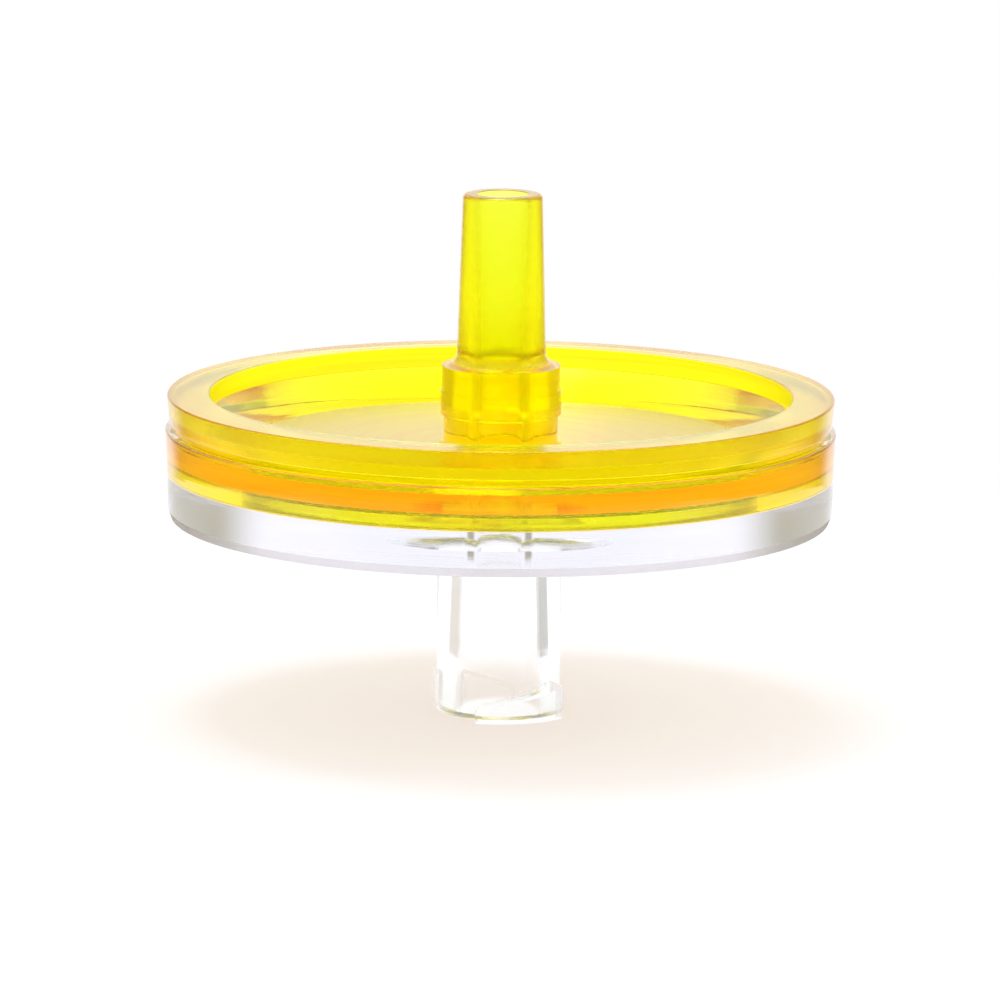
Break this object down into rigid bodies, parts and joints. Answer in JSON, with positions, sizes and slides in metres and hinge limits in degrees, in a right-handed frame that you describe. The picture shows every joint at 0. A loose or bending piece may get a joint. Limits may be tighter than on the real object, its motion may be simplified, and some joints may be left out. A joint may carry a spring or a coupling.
{
  "type": "syringe filter",
  "caption": "Round disc syringe filter with a clear lock-type inlet cup, a tinted outlet housing with a slip tip, and a sealed white membrane between them.",
  "frame": {"origin": "centre of the inlet's end face, which the filter stands on", "axes": "+Z along the flow axis from the inlet to the outlet tip; front towards -Y, where one of the two lock lugs lies"},
  "size_m": [0.0332, 0.0332, 0.0259],
  "materials": {
    "clear_plastic": "polished, water clear",
    "yellow_plastic": "polished, transparent yellow tint",
    "membrane_white": "matte, fine pored sheet"
  },
  "bodies": {
    "root": {"inlet_housing": "clear_plastic", "outlet_housing": "yellow_plastic", "membrane": "membrane_white"}
  },
  "joints": []
}
